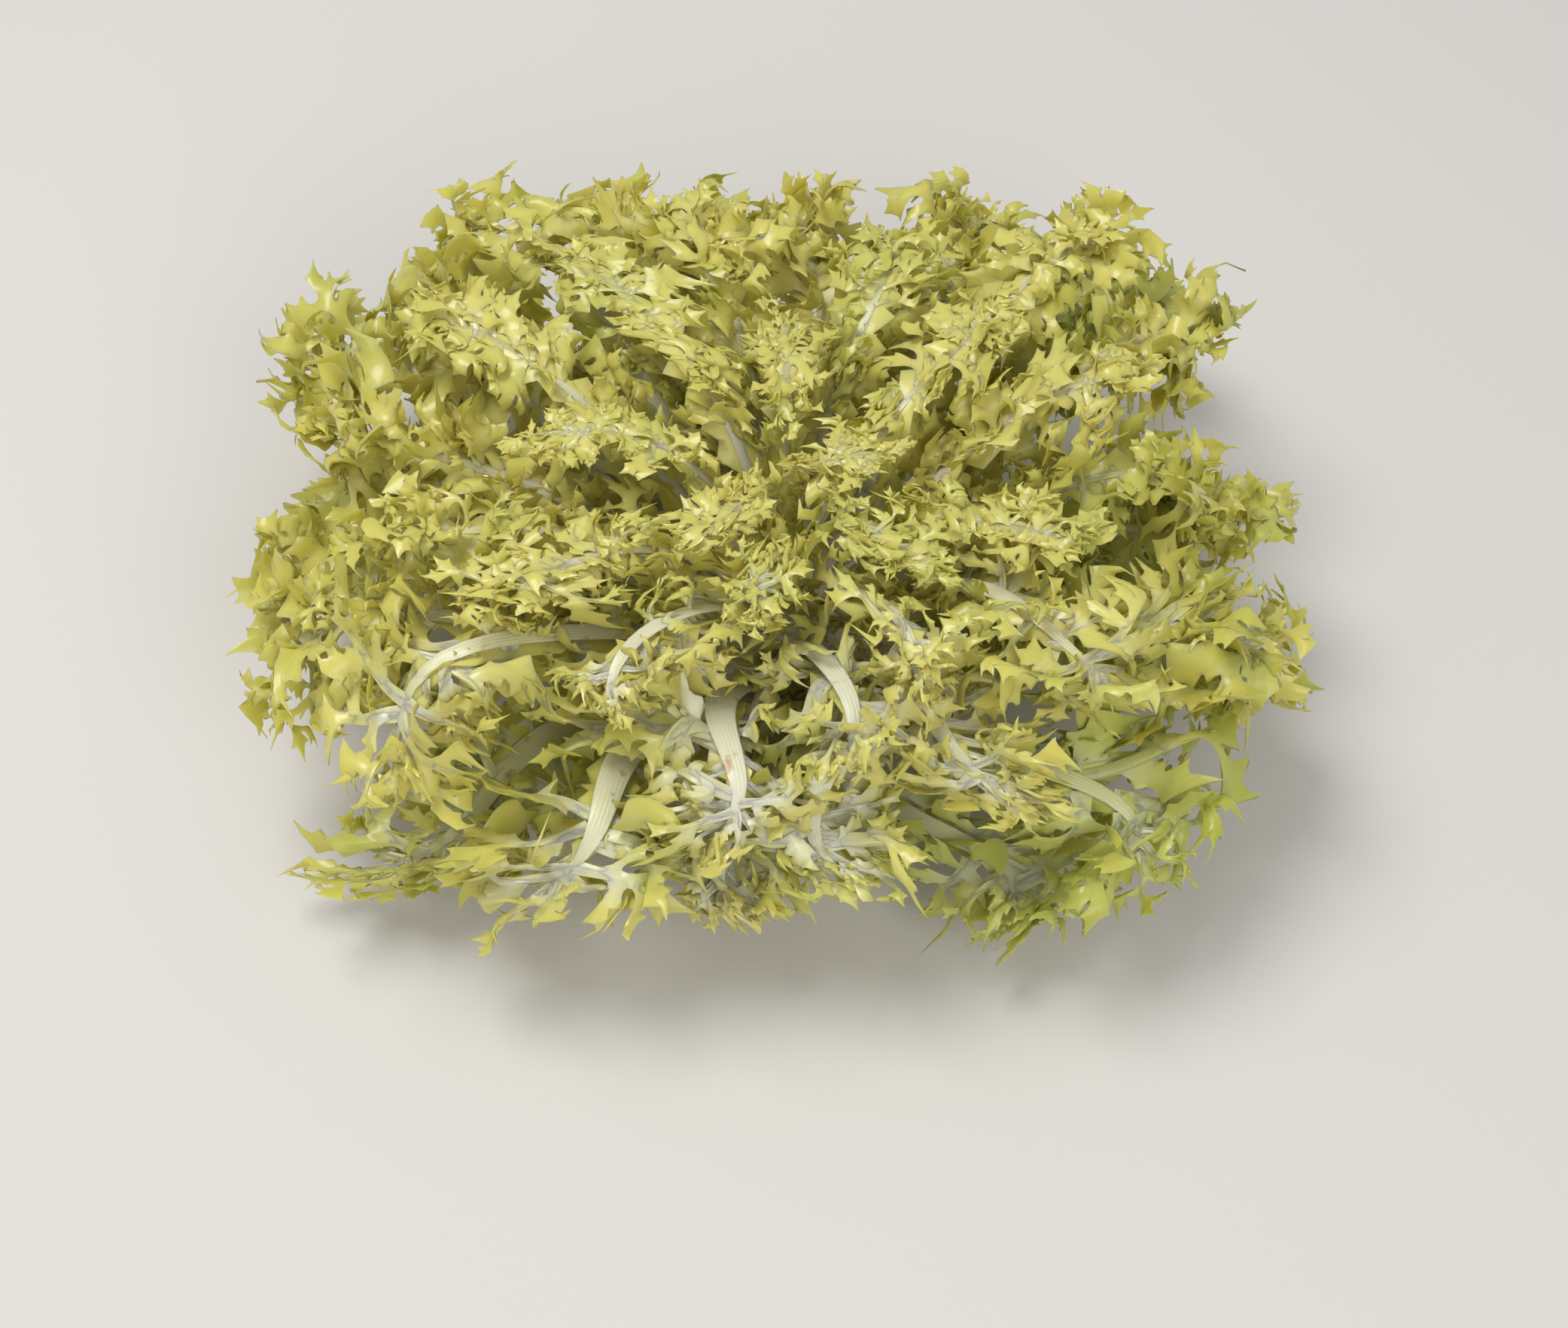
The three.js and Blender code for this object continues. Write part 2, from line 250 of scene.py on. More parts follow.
def draw(leaf, use):
    """A repeatable draw between 0 and 1 for each leaf and use, the same as in the solids."""
    x = math.sin(leaf * 12.9898 + use * 78.233) * 43758.5453
    return x - math.floor(x)


# ---- shells of the dome

def outline_reach(azimuth):
    """Distance from the stem's axis to the rounded-rectangle outline of the head, by halving."""
    low, high = np.zeros_like(azimuth), np.full_like(azimuth, HEAD_WIDTH)
    for _ in range(24):
        middle = (low + high) / 2
        x = np.abs(STEM_OFFSET[0] + middle * np.cos(azimuth)) / (HEAD_WIDTH / 2)
        y = (STEM_OFFSET[1] + middle * np.sin(azimuth)) / (HEAD_DEPTH / 2)
        squareness = np.where(y > 0, BACK_SQUARENESS, FRONT_SQUARENESS)
        inside = x ** squareness + np.abs(y) ** squareness < 1
        low, high = np.where(inside, middle, low), np.where(inside, high, middle)
    return low


ROUND = np.linspace(0, 2 * math.pi, 4 * 360 + 1)
REACH_ROUND = outline_reach(ROUND)


def footprint_reach(azimuth):
    return np.interp(np.mod(azimuth, 2 * math.pi), ROUND, REACH_ROUND)


def stem_radius(height):
    radii, heights = zip(*STEM_OUTLINE)
    return float(np.interp(height, heights, radii))


def shell_point(base, shell, azimuth, along):
    """Distance from the stem's axis and height of points on shells: along is 0 at the seat, 1 at the dome."""
    shell = np.clip(shell, 0, 1)
    rise = np.arcsin(lerp(LOWEST_TIP, HIGHEST_TIP, shell))
    reach = footprint_reach(azimuth) * np.cos(rise) ** TIP_REACH_POWER
    tip = (reach, HEAD_HEIGHT * np.sin(rise) ** TIP_HEIGHT_POWER)
    start = np.radians(lerp(*START_ANGLES, shell ** 0.8))
    drooped = lerp(*DROOP_ANGLES, np.minimum(1, shell * DROOP_SOON))
    droop = np.radians(drooped + DROOP_LESS_ABOVE * shell ** 1.5)
    chord = CHORD_SHARE * np.hypot(tip[0] - base[0], tip[1] - base[1])
    first = (base[0] + chord * np.cos(start), base[1] + chord * np.sin(start))
    second = (tip[0] - chord * np.cos(droop), tip[1] - chord * np.sin(droop))
    back = 1 - along
    weights = (back ** 3, 3 * back ** 2 * along, 3 * back * along ** 2, along ** 3)
    return [
        weights[0] * base[k] + weights[1] * first[k] + weights[2] * second[k] + weights[3] * tip[k]
        for k in (0, 1)
    ]


def seat_of(index):
    """Where a leaf grows from the stem: its distance from the stem's axis and its height."""
    if index >= FREE_LEAVES:
        height = lerp(LOWEST_HEART_SEAT, HIGHEST_HEART_SEAT, (index - FREE_LEAVES) / HEART_LEAVES)
        return HEART_ROOT_RADIUS, height
    height = lerp(LOWEST_SEAT, HIGHEST_SEAT, index / FREE_LEAVES)
    return stem_radius(height) - SEAT_DEPTH, height


def leaf_at(index):
    """A leaf's place in the spiral, its seat, reach and swing as in the solids, and how its lobes fill it."""
    shell = index / (LEAF_COUNT - 1)
    jitter = math.radians(lerp(-AZIMUTH_JITTER, AZIMUTH_JITTER, draw(index, 1)))
    azimuth = SPIRAL_START + index * GOLDEN_ANGLE + jitter
    base = seat_of(index)
    around, along = np.full(CURVE_POINTS, azimuth), np.linspace(0, 1, CURVE_POINTS)
    length = np.hypot(*np.diff(np.array(shell_point(base, shell, around, along)))).sum()
    to_front = max(0, -math.sin(azimuth))
    to_back = max(0, math.sin(azimuth))
    to_side = abs(math.cos(azimuth))
    below_top = 1 if shell < FRONT_TOP else max(0, 1 - FRONT_FADE * (shell - FRONT_TOP))
    front = to_front ** FRONT_POWER * below_top
    side = 1 if index % 2 else -1
    front_corner = to_front * to_side * 2 * (shell < CORNER_TOP)
    back_corner = to_back * to_side * 2 * (shell < CORNER_TOP)
    in_corner = max(front_corner, back_corner * (math.cos(azimuth) < 0))
    fill = lerp(*LEAF_FILL, min(1, max(0, length / FULL_LENGTH - 0.3) * 1.3))
    return SimpleNamespace(
        index=index,
        shell=shell,
        azimuth=azimuth,
        base=base,
        length=length,
        reach=lerp(SHORTEST_REACH, 1, draw(index, 2)),
        swing=math.radians(lerp(-MOST_SWING, MOST_SWING, draw(index, 3))),
        bow=math.radians(lerp(*BOW_ANGLES, draw(index, 7))) * lerp(BACK_BOW, 1, front) * side,
        front=front,
        bare=to_front ** FRONT_POWER * min(1, max(0, 1 - BARE_FADE * (shell - BARE_TOP))),
        front_corner=front_corner,
        back_corner=back_corner,
        in_corner=in_corner,
        off_ground=min(1, shell / GROUND_TOP),
        first_lobe=lerp(*FIRST_LOBES, to_front ** 3),
        fill=fill * lerp(1, CORNER_FILL, in_corner) * lerp(1, FRONT_CORNER_FILL, front_corner),
        longest_lobe=LONGEST_LOBE * lerp(1, HEART_LOBE, shell) * lerp(*LOBE_VARIETY, draw(index, 4)),
    )


low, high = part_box("stem")
STEM_AXIS = ((low.x + high.x) / 2 / MM, (low.y + high.y) / 2 / MM)


def sheet_point(leaf, along, across):
    """Points of a leaf's sheet: along is 0 at its seat and 1 at its tip, across is in mm from its middle."""
    middle = np.clip(along, 0, 1)
    swing = leaf.swing * np.sin(math.pi * middle) ** 2
    swung = leaf.azimuth + swing + leaf.bow * middle * np.sin(2 * math.pi * middle)
    on_shell = along * leaf.reach
    distance, _ = shell_point(leaf.base, leaf.shell, swung, on_shell)
    azimuth = swung + across / (distance + SOFTENING_RADIUS)
    radius, height = shell_point(leaf.base, leaf.shell, azimuth, on_shell)
    return np.stack([
        STEM_AXIS[0] + radius * np.cos(azimuth),
        STEM_AXIS[1] + radius * np.sin(azimuth),
        height,
    ], axis=-1)


def sheet_normal(leaf, along, across):
    """The sheet's normals, towards the heart."""
    onwards = sheet_point(leaf, along + 0.01, across) - sheet_point(leaf, along - 0.01, across)
    sideways = sheet_point(leaf, along, across + 1) - sheet_point(leaf, along, across - 1)
    normal = np.cross(onwards, sideways)
    return normal / np.linalg.norm(normal, axis=-1, keepdims=True)


def between_ground_and_film(points):
    """Keeps points above the ground and under the film that presses the top."""
    points[:, 2] = np.interp(points[:, 2], FREE_HEIGHTS, HELD_HEIGHTS)
    return points


def rib_half_width(leaf, along):
    base = RIB_BASE_WIDTH * lerp(1, 0.5 + 0.4 * leaf.front, leaf.shell)
    fall = lerp(0.7, 3, leaf.front)
    return lerp(base, RIB_TIP_WIDTH, np.clip(along / RIB_END, 0, 1) ** fall) / 2


# ---- blanks, modelled flat

NECK_LENGTH = 0.04
SPINE_TOOTH = 0.09
# A twig on a lobe's side: its steps as (share of its length, width), and how it leans forwards
TWIG = [(0.3, 0.72), (0.3, 1.35), (0.4, 0.1)]
TWIG_LEAN = math.radians(28)
TOOTH_LEAN = math.radians(40)
TOOTH_POINT = 0.12
# Teeth of a twig, as (step, side)
CROWN = [(1, 1), (1, -1)]
LONG_CROWN = [(1, 1), (1, -1), (0, -1), (0, 1)]


def nothing_selected():
    bpy.ops.object.select_all(action="DESELECT")


def start_editing(edges=False, faces=False):
    """Opens the active piece in edit mode with all of it selected."""
    bpy.ops.object.mode_set(mode="EDIT")
    bpy.context.tool_settings.mesh_select_mode = (False, edges, faces)
    bpy.ops.mesh.select_all(action="SELECT")


def end_editing():
    """Closes edit mode on a closed form, with its faces turned outwards."""
    bpy.ops.mesh.select_all(action="SELECT")
    bpy.ops.mesh.normals_make_consistent(inside=False)
    bpy.ops.object.mode_set(mode="OBJECT")


def extrude(move):
    bpy.ops.mesh.extrude_region_move(TRANSFORM_OT_translate={"value": move})


def pick_rim(near):
    """Selects the rim's edge nearest to a point of the blank that is being edited."""
    bpy.ops.mesh.select_all(action="DESELECT")
    mesh = bmesh.from_edit_mesh(bpy.context.object.data)
    rim = [edge for edge in mesh.edges if edge.is_boundary]
    nearest = min(rim, key=lambda edge: ((edge.verts[0].co + edge.verts[1].co) / 2 - near).length)
    nearest.select_set(True)
    bmesh.update_edit_mesh(bpy.context.object.data)


def grow(start, heading, half_width, steps, climb=0.0):
    """Extrudes the rim nearest to start by steps of (length, width, turn), and gives the steps' sides."""
    place = Vector(start)
    pick_rim(place)
    sides = []
    for length, width, turn in steps:
        heading += turn
        move = Vector((math.cos(heading), math.sin(heading), climb)) * length
        extrude(move)
        place += move
        bpy.ops.transform.resize(value=(width, width, 1), center_override=place)
        if turn:
            bpy.ops.transform.rotate(value=-turn, orient_axis="Z", center_override=place)
        across = Vector((-math.sin(heading), math.cos(heading), 0)) * half_width * (1 + width) / 2
        middle = place - move / 2
        left, right = middle + across, middle - across
        sides.append(SimpleNamespace(left=left, right=right, heading=heading, length=length))
        half_width *= width
    return sides


def add_teeth(sides, teeth, size, climb):
    """Short teeth on the sides of steps that are already grown: a tooth is (step, side)."""
    for step, side in teeth:
        at = sides[step]
        root = at.left if side > 0 else at.right
        tooth = (size, TOOTH_POINT, -side * TOOTH_LEAN)
        grow(root, at.heading + side * math.pi / 2, at.length / 2, [tooth], climb)


def flat_blank(piece):
    """The points and faces of a blank, and which points are on its rim."""
    mesh = bmesh.new()
    mesh.from_mesh(piece.data)
    rim = np.array([vertex.is_boundary for vertex in mesh.verts])
    mesh.free()
    points = np.array([vertex.co for vertex in piece.data.vertices])
    faces = [list(polygon.vertices) for polygon in piece.data.polygons]
    bpy.data.objects.remove(piece)
    return SimpleNamespace(points=points, faces=faces, rim=rim)


def lobe_blank(name, scale, half_width, spine, spine_teeth, branches):
    """A flat lobe about one unit long: a spine with branches on its sides, and teeth on both."""
    nothing_selected()
    bpy.ops.mesh.primitive_plane_add(size=1, location=(0, 0, 0))
    blank = bpy.context.object
    blank.name = name
    start_editing(edges=True)
    bpy.ops.transform.resize(value=(NECK_LENGTH, 2 * half_width, 1), center_override=(0, 0, 0))
    sides = grow((NECK_LENGTH / 2, 0, 0), 0, half_width, spine)
    middles = [Vector((0, 0, 0))] + [(at.left + at.right) / 2 for at in sides]
    add_teeth(sides, spine_teeth, SPINE_TOOTH, 0)
    for step, side, size, bend, climb, teeth in branches:
        at = sides[step]
        root = at.left if side > 0 else at.right
        turns = [TWIG_LEAN, bend, bend]
        steps = [(length * size, width, -side * turn) for (length, width), turn in zip(TWIG, turns)]
        twig = grow(root, at.heading + side * math.pi / 2, at.length / 2, steps, climb)
        add_teeth(twig, teeth, 0.06 + 0.09 * size, climb)
    bpy.ops.object.mode_set(mode="OBJECT")
    smoothing = blank.modifiers.new("smoothing", "SUBSURF")
    smoothing.levels = smoothing.render_levels = 1
    smoothing.boundary_smooth = "PRESERVE_CORNERS"
    bpy.ops.object.modifier_apply(modifier="smoothing")
    flat = flat_blank(blank)
    flat.scale = scale
    flat.middle = np.array([(place.x, place.y) for place in middles])
    return flat


# Two broad lobes with webs between their branches, two slender ones, a curl and lace: name, scale, half the
# root's width, the spine's steps as (length, width, turn) and teeth as (step, side), and the branches as
# (step, side, size, bend forwards, climb, teeth), with angles in radians
LOBES = [
    ("oak_lobe", 0.8, 0.06,
     [(0.16, 1.5, 0), (0.17, 1.3, -0.1), (0.17, 1, 0.1), (0.18, 0.8, 0.1), (0.16, 0.6, -0.1),
      (0.18, 0.15, 0)],
     [(4, 1), (4, -1)],
     [(1, 1, 0.3, 0.15, 0.3, CROWN), (1, -1, 0.34, 0.15, -0.3, CROWN), (2, -1, 0.36, 0.2, 0.4, CROWN),
      (2, 1, 0.36, 0.2, -0.35, CROWN), (3, -1, 0.28, 0.2, -0.2, CROWN)]),
    ("fan_lobe", 0.66, 0.07,
     [(0.16, 1.6, 0.1), (0.2, 1.5, 0.1), (0.22, 1.0, -0.15), (0.2, 0.7, -0.1), (0.24, 0.15, 0.1)],
     [(0, 1), (3, 1), (3, -1)],
     [(1, 1, 0.44, 0.15, -0.35, CROWN), (1, -1, 0.4, 0.15, 0.4, CROWN), (2, 1, 0.4, 0.2, 0.35, CROWN),
      (2, -1, 0.44, 0.2, -0.3, LONG_CROWN)]),
    ("antler_lobe", 1, 0.045,
     [(0.18, 0.8, 0.1), (0.14, 1.1, 0.1), (0.14, 0.9, -0.1), (0.14, 1.1, -0.15), (0.14, 1, 0),
      (0.12, 1.3, 0.15), (0.16, 0.12, 0)],
     [(5, 1), (5, -1)],
     [(1, 1, 0.38, 0.2, 0.3, CROWN), (2, -1, 0.46, 0.25, -0.35, CROWN), (3, 1, 0.42, 0.25, -0.3, CROWN),
      (4, -1, 0.34, 0.2, 0.3, CROWN)]),
    ("forked_lobe", 0.95, 0.05,
     [(0.2, 0.8, -0.1), (0.15, 1.15, -0.1), (0.16, 0.9, 0.2), (0.15, 1, 0.2), (0.13, 1.3, 0),
      (0.18, 0.12, -0.1)],
     [(4, 1), (4, -1)],
     [(1, 1, 0.5, 0.3, -0.3, LONG_CROWN), (2, -1, 0.6, 0.15, 0.25, LONG_CROWN),
      (3, 1, 0.34, 0.2, 0.3, CROWN)]),
    ("curl_lobe", 0.75, 0.06,
     [(0.22, 1.4, 0.1), (0.22, 1.1, 0.1), (0.2, 0.9, -0.2), (0.18, 0.9, 0), (0.2, 0.12, 0.1)],
     [(3, 1), (3, -1), (0, -1)],
     [(1, 1, 0.34, 0.2, 0.3, CROWN), (2, -1, 0.38, 0.2, -0.3, CROWN)]),
    ("lace_lobe", 1.1, 0.036,
     [(0.24, 0.9, 0.1), (0.08, 1, 0.05), (0.13, 0.9, -0.1), (0.08, 1, -0.1), (0.12, 1, 0.1),
      (0.08, 1.2, 0.1), (0.1, 1.2, 0), (0.16, 0.12, -0.1)],
     [(6, 1), (6, -1)],
     [(1, 1, 0.5, 0.3, 0.3, LONG_CROWN), (3, -1, 0.46, 0.25, -0.35, LONG_CROWN),
      (5, 1, 0.34, 0.25, -0.3, CROWN)]),
]
OAK, FAN, ANTLER, FORKED, CURL, LACE = range(len(LOBES))


def rib_blank(rings, sides):
    """A midrib one unit long and two across, flat on the side towards the heart: a tube with closed ends."""
    nothing_selected()
    bpy.ops.mesh.primitive_circle_add(vertices=sides, radius=1, fill_type="NGON", location=(0, 0, 0))
    blank = bpy.context.object
    start_editing(faces=True)
    for _ in range(rings):
        extrude((0, 0, 1 / rings))
    end_editing()
    tube = flat_blank(blank)
    across = tube.points[:, 1]
    tube.points[:, 1] = np.where(across > 0, RIB_FLATNESS * across, across)
    return tube


def vein_blank():
    """A lobe's vein: a tube that runs along three quarters of the lobe's spine and tapers to a point."""
    tube = rib_blank(rings=7, sides=6)
    out = tube.points[:, 2] * VEIN_END
    half_width = lerp(VEIN_HALF_WIDTH, VEIN_TIP * VEIN_HALF_WIDTH, (out / VEIN_END) ** 0.8)
    across, height = tube.points[:, 0] * half_width, VEIN_FLATNESS * tube.points[:, 1] * half_width
    tube.points = np.stack([out, across, height], axis=1)
    return tube


def wing_blank(rings):
    """The narrow blade along the midrib: a strip one unit long and two across."""
    nothing_selected()
    bpy.ops.mesh.primitive_grid_add(x_subdivisions=rings, y_subdivisions=4, size=2, location=(0, 0, 0))
    strip = flat_blank(bpy.context.object)
    strip.points[:, 0] = (strip.points[:, 0] + 1) / 2
    return strip


# ---- the lobes of a leaf

# Each lobe has a number of its own, from which its draws are counted
SIDE_USES = 200
UNDER_USES = 600
CREST_USES = 700
TIP_USES = 900


def chance(leaf, use, low, high):
    """A repeatable draw between low and high."""
    return lerp(low, high, draw(leaf.index, use))


def lobe(leaf, use, root, aside, heading, length, rises, curls, calm=1):
    """A lobe: its root on the midrib, heading from straight onwards, length, first rise and curl."""
    return SimpleNamespace(
        use=use,
        root=root,
        aside=aside,
        heading=math.radians(heading),
        length=length,
        rise=math.radians(chance(leaf, use + 4, *rises) * calm),
        curl=math.radians(chance(leaf, use + 5, *curls) * calm),
    )


def off_ground(leaf, manner):
    """The range of rises of a manner, without those that would point a low leaf's lobes into the ground."""
    low, high = manner.rise
    return low * leaf.off_ground, high


def side_manner(leaf, use, first):
    """The ranges of a side lobe's rise and curl."""
    if leaf.bare > BARE_FRONT:
        return off_ground(leaf, BARE_LOBE), BARE_LOBE.curl
    if first:
        return off_ground(leaf, LYING_LOBE), LYING_LOBE.curl
    if draw(leaf.index, use + 3) < lerp(*UPRIGHT_SHARES, leaf.bare):
        return UPRIGHT_LOBE.rise, UPRIGHT_LOBE.curl
    low, high = off_ground(leaf, HANGING_LOBE)
    return (low, high * (1 - leaf.off_ground)), HANGING_LOBE.curl


def side_lobes(leaf, kind):
    """The lobes of the solid leaf, by turns on both sides of its midrib, and more between them."""
    lobes = []
    intervals = 2 * kind.lobes
    spacing = 2 * (RIB_END - leaf.first_lobe) / intervals
    side_length = leaf.longest_lobe * leaf.fill * lerp(1, BARE_SIDE_LENGTH, leaf.bare)
    extra = round(lerp(kind.extra, BARE_EXTRA, leaf.bare))
    calm = lerp(1, FRONT_CORNER_CALM, leaf.front_corner)
    for i in range(intervals):
        share = (i + 0.5) / intervals
        fullness = lerp(LEAST_FULL, 1, math.sin(math.pi * share ** 1.2)) * chance(leaf, 10 + i, *VARIETY)
        root = lerp(leaf.first_lobe, RIB_END, i / intervals) + spacing / 4
        side = 1 if i % 2 else -1
        for k in range(extra):
            use = SIDE_USES + 10 * (i * kind.extra + k)
            own = 1 if k == 0 else chance(leaf, use, *SECOND_LENGTHS)
            if leaf.bare > BARE_FRONT:
                if share < BARE_UNTIL and draw(leaf.index, use + 3) < BARE_GAPS:
                    continue
                own *= lerp(0.5, 1, min(1, share / BARE_UNTIL))
            at = root + spacing * (k / extra) * chance(leaf, use + 1, *VARIETY)
            sweep = lerp(*SWEEPS, share) + chance(leaf, use + 2, *SWEEP_JITTER) + BARE_SWEEP * leaf.bare
            length = side_length * fullness * own
            manner = side_manner(leaf, use, k == 0)
            lobes.append(lobe(leaf, use, at, side * 0.7, side * (90 - sweep), length, *manner, calm))
    return lobes


def under_lobes(leaf):
    """Lobes from the back of the midrib, which fill the gaps under the bare ribs and in the corners."""
    lobes = []
    at_front = FRONT_UNDER_LOBES * max(leaf.bare, 0.8 * leaf.front_corner)
    for k in range(round(at_front + BACK_UNDER_LOBES * leaf.back_corner)):
        use = UNDER_USES + 10 * k
        side, manner = (1, LOW_UNDER_LOBE) if k % 2 else (-1, HIGH_UNDER_LOBE)
        rises = off_ground(leaf, manner) if k % 2 else manner.rise
        root = chance(leaf, use, *(UNDER_ROOTS if k % 4 else DEEPEST_UNDER_ROOTS))
        heading = side * chance(leaf, use + 2, *UNDER_HEADINGS)
        length = leaf.longest_lobe * chance(leaf, use + 3, *UNDER_LENGTHS)
        lobes.append(lobe(leaf, use, root, 0, heading, length, rises, manner.curl))
    return lobes


def crest_lobes(leaf, kind):
    """Upright frills on the side of the midrib that is towards the heart."""
    lobes = []
    taller = lerp(1, TOP_CREST, max(0, 2 * leaf.shell - 1))
    for k in range(round(kind.crest * (1 - leaf.bare))):
        use = CREST_USES + 10 * k
        root = chance(leaf, use, leaf.first_lobe + CREST_START, RIB_END)
        aside = chance(leaf, use + 1, -0.5, 0.5)
        heading = chance(leaf, use + 2, *CREST_HEADINGS)
        length = leaf.longest_lobe * chance(leaf, use + 3, *CREST_LOBE.length) * taller
        lobes.append(lobe(leaf, use, root, aside, heading, length, CREST_LOBE.rise, CREST_LOBE.curl))
    return lobes


def tip_lobes(leaf):
    """The fan of lobes at the leaf's tip."""
    lobes = []
    middle = len(TIP_HEADINGS) // 2
    for k, spread in enumerate(TIP_HEADINGS):
        use = TIP_USES + 10 * k
        aside = abs(k - middle)
        root = RIB_END - TIP_STEP * aside + CORNER_TIP * leaf.in_corner
        heading = spread + chance(leaf, use + 1, *TIP_JITTER)
        length = leaf.longest_lobe * leaf.fill * chance(leaf, use, *TIP_LOBE.length)
        length = length * lerp(*TIP_WIDTHS, aside / middle) * lerp(1, BARE_TIP, leaf.bare)
        lobes.append(lobe(leaf, use, root, 0, heading, length, off_ground(leaf, TIP_LOBE), TIP_LOBE.curl))
    return lobes


def blank_for(leaf, use):
    """Which blank a lobe is made from: broad ones at the back, slender ones and lace towards the front."""
    pick = draw(leaf.index, use + 9.5)
    laced = min(1, 1.6 * max(leaf.bare, 0.6 * leaf.front_corner))
    if draw(leaf.index, use + 9.4) < 0.85 * laced:
        return LACE
    if use >= TIP_USES and leaf.bare > BARE_FRONT:
        return ANTLER
    if use >= TIP_USES:
        return (OAK, ANTLER, FORKED)[int(3 * pick)]
    if use >= CREST_USES:
        return (CURL, OAK, CURL, FAN)[int(4 * pick)]
    broad = lerp(0.7, 0.05, min(1, 1.5 * leaf.bare))
    if pick < broad:
        return OAK if pick < 0.55 * broad else FAN
    return ANTLER if draw(leaf.index, use + 9.6) < 0.5 else FORKED


def turned_towards(a, b, angle):
    """Both unit vectors of a right angle turned in their plane: a towards b."""
    cosine, sine = np.cos(angle)[:, None], np.sin(angle)[:, None]
    return a * cosine + b * sine, b * cosine - a * sine


def curled(leaf, lobes, blank, ruffled=True):
    """Copies of a flat blank along curling spines, in the leaf's own space: onwards, sideways and up."""
    def pick(name):
        return np.array([getattr(one, name) for one in lobes])

    def draws(use):
        return np.array([draw(leaf.index, one.use + use) for one in lobes])

    heading, root, length = pick("heading"), pick("root"), pick("length") * pick("scale")
    flat = np.zeros_like(root)
    ahead = np.stack([np.cos(heading), np.sin(heading), flat], axis=1)
    up = np.tile([0.0, 0.0, 1.0], (len(lobes), 1))
    ahead, up = turned_towards(ahead, up, pick("rise"))
    place = np.stack([root * leaf.length, pick("aside") * rib_half_width(leaf, root), flat], axis=1)
    yaw = np.radians(lerp(*YAWS, draws(6)))
    twist = np.radians(lerp(*TWISTS, draws(7)))
    wander = np.radians(lerp(*WANDERS, draws(8)))
    phase = 2 * math.pi * draws(9)
    frames = [(place, ahead, np.cross(up, ahead), up)]
    for step in range(SPINE_STEPS):
        share = (step + 0.5) / SPINE_STEPS
        growth = 0.25 + 1.5 * share
        bend = (pick("curl") * growth + wander * 4 * np.sin(WANDER_WAVES * share + phase)) / SPINE_STEPS
        ahead, up = turned_towards(ahead, up, bend)
        across = np.cross(up, ahead)
        ahead, across = turned_towards(ahead, across, yaw * growth / SPINE_STEPS)
        up, across = turned_towards(up, across, twist * growth / SPINE_STEPS)
        place = place + ahead * (length / SPINE_STEPS)[:, None]
        frames.append((place, ahead, np.cross(up, ahead), up))
    on_spine = np.clip(blank.points[:, 0], 0, 1)
    before = np.minimum((on_spine * SPINE_STEPS).astype(int), SPINE_STEPS - 1)
    part = (on_spine * SPINE_STEPS - before)[None, :, None]
    places, aheads, acrosses, ups = (
        rows[:, before] * (1 - part) + rows[:, before + 1] * part
        for rows in (np.array(each).transpose(1, 0, 2) for each in zip(*frames))
    )
    out = blank.points[:, 0][None, :]
    beyond = out - on_spine[None, :]
    across = blank.points[:, 1][None, :] * np.where(draws(9.3) < 0.5, -1, 1)[:, None]
    height = np.tile(blank.points[:, 2], (len(lobes), 1))
    if ruffled:
        ruffle = RUFFLE * np.sin(out * RUFFLE_WAVES + phase[:, None] + np.where(across > 0, 2.2, 0))
        ruffle *= np.clip(np.abs(across) / RUFFLE_FULL_AT, 0, 1)
        bow = (lerp(*BOWS, draws(1)) * np.where(draws(1.7) < 0.5, -1, 1))[:, None]
        height = height + (1 - np.cos(bow * across)) / bow + ruffle
        across = np.sin(bow * across) / bow
    size = length[:, None, None]
    moved = beyond[..., None] * aheads + across[..., None] * acrosses + height[..., None] * ups
    return places + size * moved


def on_sheet(leaf, points, pressed=True):
    """Points of the leaf's own space laid on its sheet, with the longest and tallest frills held in."""
    along, across, height = points[:, 0] / leaf.length, points[:, 1], points[:, 2]
    held = np.clip(along, 0.02, 1)
    there = sheet_point(leaf, held, across)
    ahead = there - sheet_point(leaf, held - 0.02, across)
    ahead /= np.linalg.norm(ahead, axis=1, keepdims=True)
    far = np.clip((held - NEAR_SEAT) / (FAR_FROM_SEAT - NEAR_SEAT), 0, 1)
    height = np.interp(height, FREE_FRILL, HELD_FRILL) * lerp(HEIGHT_NEAR_SEAT, 1, far)
    beyond = np.interp((along - held) * leaf.length, FREE_TIP, HELD_TIP)
    there = there + ahead * beyond[:, None] + sheet_normal(leaf, held, across) * height[:, None]
    return between_ground_and_film(there) if pressed else there


def span(paths):
    """How large each of several sets of points is."""
    return np.linalg.norm(np.ptp(paths, axis=1), axis=1)


def by_blank(lobes, blanks):
    """The lobes of each blank, with the blank."""
    for number, blank in enumerate(blanks):
        chosen = [one for one in lobes if one.blank == number]
        if chosen:
            yield chosen, blank


